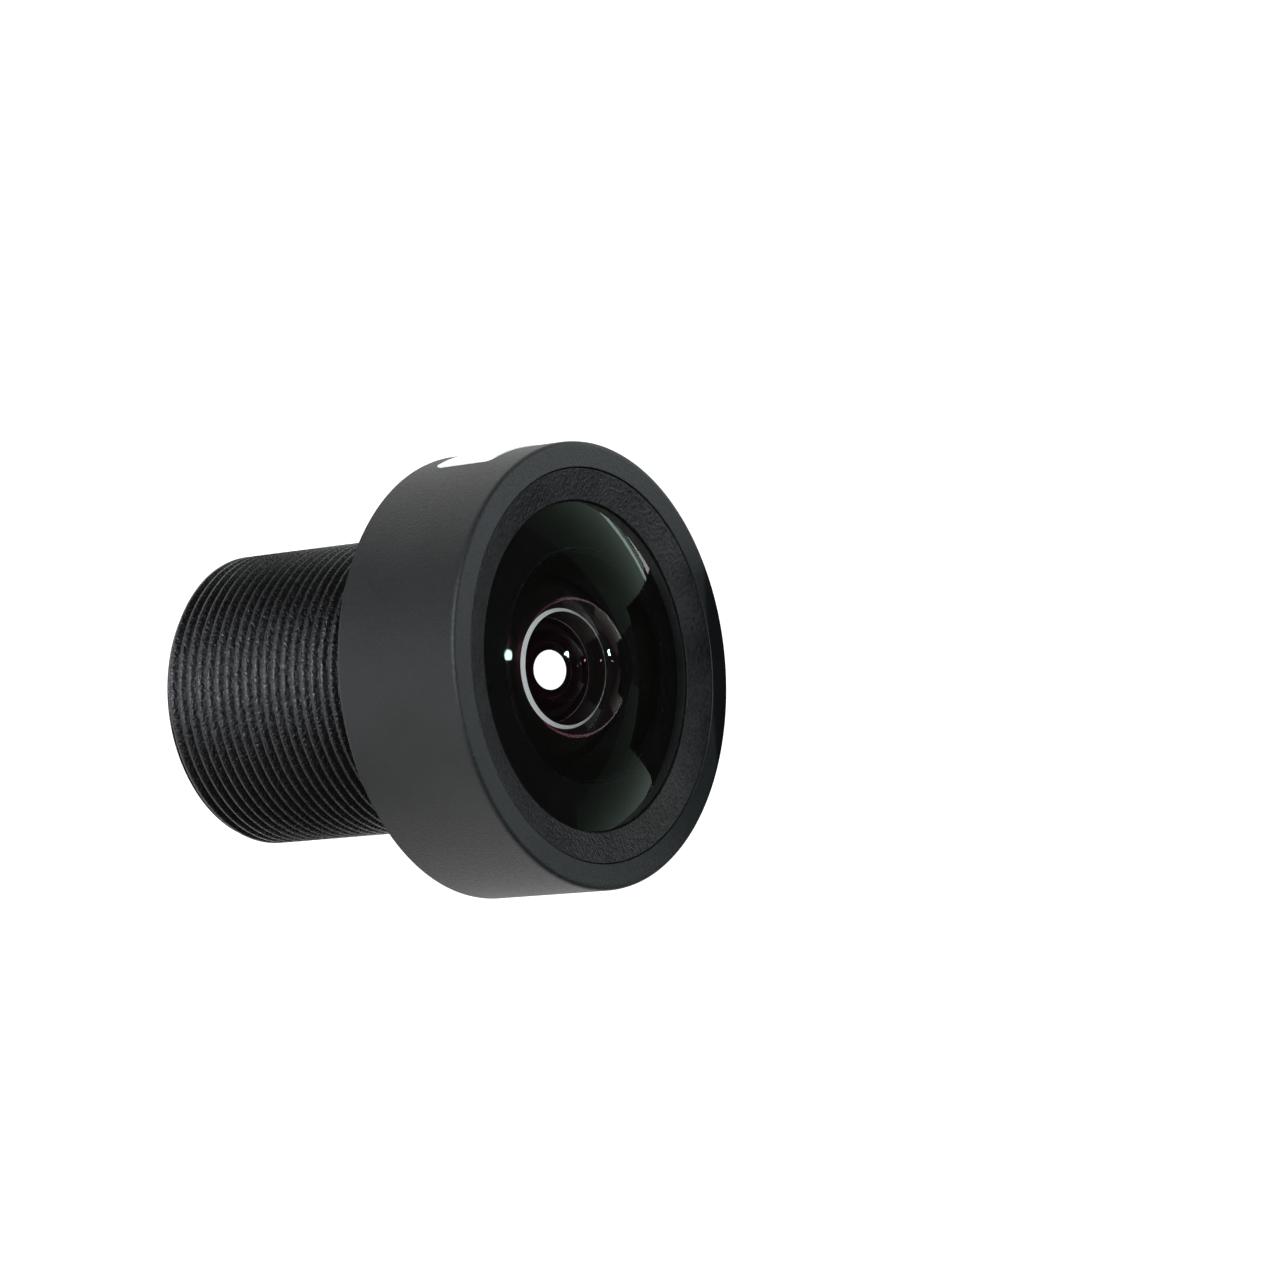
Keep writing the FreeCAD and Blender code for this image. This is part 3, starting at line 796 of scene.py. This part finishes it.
def addCard(name, azimuth, elevation, distance, width, height, low, high):
    # white card lit from below, so its glow fades upwards
    material, tree = emptyMaterial(name + "Glow")
    place = addNode(tree, "ShaderNodeTexCoord")
    up = addNode(tree, "ShaderNodeSeparateXYZ", {0: place.outputs["Generated"]})
    glow = addNode(tree, "ShaderNodeMapRange", {"Value": up.outputs[1], "To Min": low, "To Max": high},
                   interpolation_type="SMOOTHSTEP")
    surface = addNode(tree, "ShaderNodeEmission",
                      {"Color": linearColour(studio["cardColour"]), "Strength": glow.outputs[0]})
    addNode(tree, "ShaderNodeOutputMaterial", {"Surface": surface.outputs[0]})
    w, h = width / 2, height / 2
    card = flatCard(name, [(-w, -h, 0), (w, -h, 0), (w, h, 0), (-w, h, 0)], material)
    aimed(card, azimuth, elevation, distance)


def addTableCard(name, left, right, front, back, glow):
    z = studio["tableCardHeight"]
    flatCard(name, [(left, front, z), (right, front, z), (right, back, z), (left, back, z)],
             glowing(name + "Glow", "#ffffff", glow))


def addFlag(name, y, left, right, low, high):
    material, tree = emptyMaterial("blackStudioCard")  # dull black paper
    surface = addNode(tree, "ShaderNodeBsdfDiffuse", {"Color": (*[studio["flagShade"]] * 3, 1.0)})
    addNode(tree, "ShaderNodeOutputMaterial", {"Surface": surface.outputs[0]})
    flatCard(name, [(left, y, low), (right, y, low), (right, y, high), (left, y, high)], material)


def makeFloor():
    bm = bmesh.new()
    bmesh.ops.create_circle(bm, cap_ends=True, segments=studio["floorSegments"],
                            radius=studio["floorRadius"] * mm)
    mesh = bpy.data.meshes.new("floor")
    bm.to_mesh(mesh)
    bm.free()
    mesh.materials.append(glowing("glowingWhiteTable", "#ffffff", studio["floorGlow"]))
    floor = bpy.data.objects.new("floor", mesh)
    floor.location.z = -studio["floorGap"] * mm
    bpy.context.scene.collection.objects.link(floor)


def makeRoom():
    world = bpy.data.worlds.new("studioRoom")
    bpy.context.scene.world = world
    world.use_nodes = True
    tree = world.node_tree
    tree.nodes.clear()
    room = addNode(tree, "ShaderNodeBackground",
                   {"Color": linearColour(studio["room"]), "Strength": studio["roomStrength"]})
    wall = addNode(tree, "ShaderNodeBackground",
                   {"Color": linearColour(studio["wall"]), "Strength": studio["wallStrength"]})
    direct = addNode(tree, "ShaderNodeLightPath")
    both = addNode(tree, "ShaderNodeMixShader",
                   {0: direct.outputs["Is Camera Ray"], 1: room.outputs[0], 2: wall.outputs[0]})
    addNode(tree, "ShaderNodeOutputWorld", {"Surface": both.outputs[0]})


def makeCamera():
    view = studio["camera"]
    data = bpy.data.cameras.new("camera")
    data.lens, data.sensor_width = view["focal"], view["sensor"]
    data.clip_start, data.clip_end = view["nearest"] * mm, view["furthest"] * mm
    camera = bpy.data.objects.new("camera", data)
    back = Vector(view["back"]).normalized()
    right = Vector(view["up"]).cross(back).normalized()
    turn = Matrix((right, back.cross(right), back)).transposed()
    camera.matrix_world = Matrix.Translation(Vector(view["place"]) * mm) @ turn.to_4x4()
    bpy.context.scene.collection.objects.link(camera)
    bpy.context.scene.camera = camera


makeFloor()
for flagName, values in studio["flags"].items():
    addFlag(flagName, *values)
makeRoom()
for lightName, values in studio["lights"].items():
    addLight(lightName, *values)
for cardName, values in studio["cards"].items():
    addCard(cardName, *values)
for cardName, values in studio["tableCards"].items():
    addTableCard(cardName, *values)
makeCamera()
bpy.context.scene.view_settings.view_transform = "Standard"
print("studio lit")
